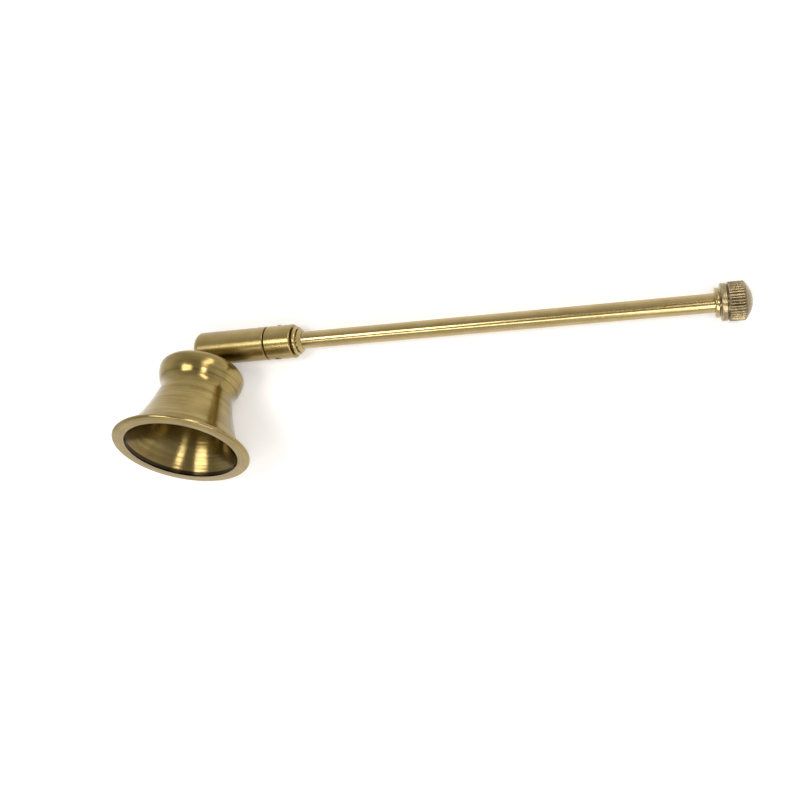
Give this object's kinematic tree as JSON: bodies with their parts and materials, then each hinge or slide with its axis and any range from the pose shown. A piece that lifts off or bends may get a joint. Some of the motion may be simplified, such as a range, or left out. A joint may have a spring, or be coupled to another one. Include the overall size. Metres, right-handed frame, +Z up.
{
  "type": "candle snuffer",
  "caption": "Brass candle snuffer: a flared bell screwed under a barrel head that swivels on a thin tube handle, with a beaded ferrule and a knurled end knob.",
  "frame": {"origin": "centre of the bounding box's footprint, on the surface that the snuffer lies on at rest on its barrel, the bell's shoulder and the knob", "axes": "+X along the handle from the bell to the knob, +Z up, -Y to the side that the bell's mouth opens to; the mouth is also turned up by about 33 degrees"},
  "size_m": [0.1808, 0.047, 0.0419],
  "materials": {
    "satin_brass": "turned and brushed brass, satin, lightly toned to olive gold",
    "dark_brass": "turned brass, left dull where it is shaded or pressed in",
    "knob_brass": "knurled brass, slightly pinker and less polished than the rod",
    "steel": "plain turned steel, zinc plated"
  },
  "bodies": {
    "handle": {"swivel_spindle": "steel", "swivel_clip": "steel", "swivel_spring": "steel", "swivel_washer": "dark_brass", "collar": "satin_brass", "collar_pin": "dark_brass", "ferrule": "satin_brass", "rod": "satin_brass", "rod_ring": "satin_brass", "knob_stud": "steel", "knob": "knob_brass"},
    "head": {"bell": "satin_brass", "bell_neck": "dark_brass", "bell_screw": "steel", "bell_washer": "steel", "barrel": "satin_brass", "swivel_bush": "dark_brass"}
  },
  "joints": [
    {"name": "head_swivel", "type": "hinge", "parent": "handle", "child": "head", "pos_m": [-0.04969, 0.01792, 0.00521], "axis": [-1, 0, -0.0006], "continuous": true}
  ]
}
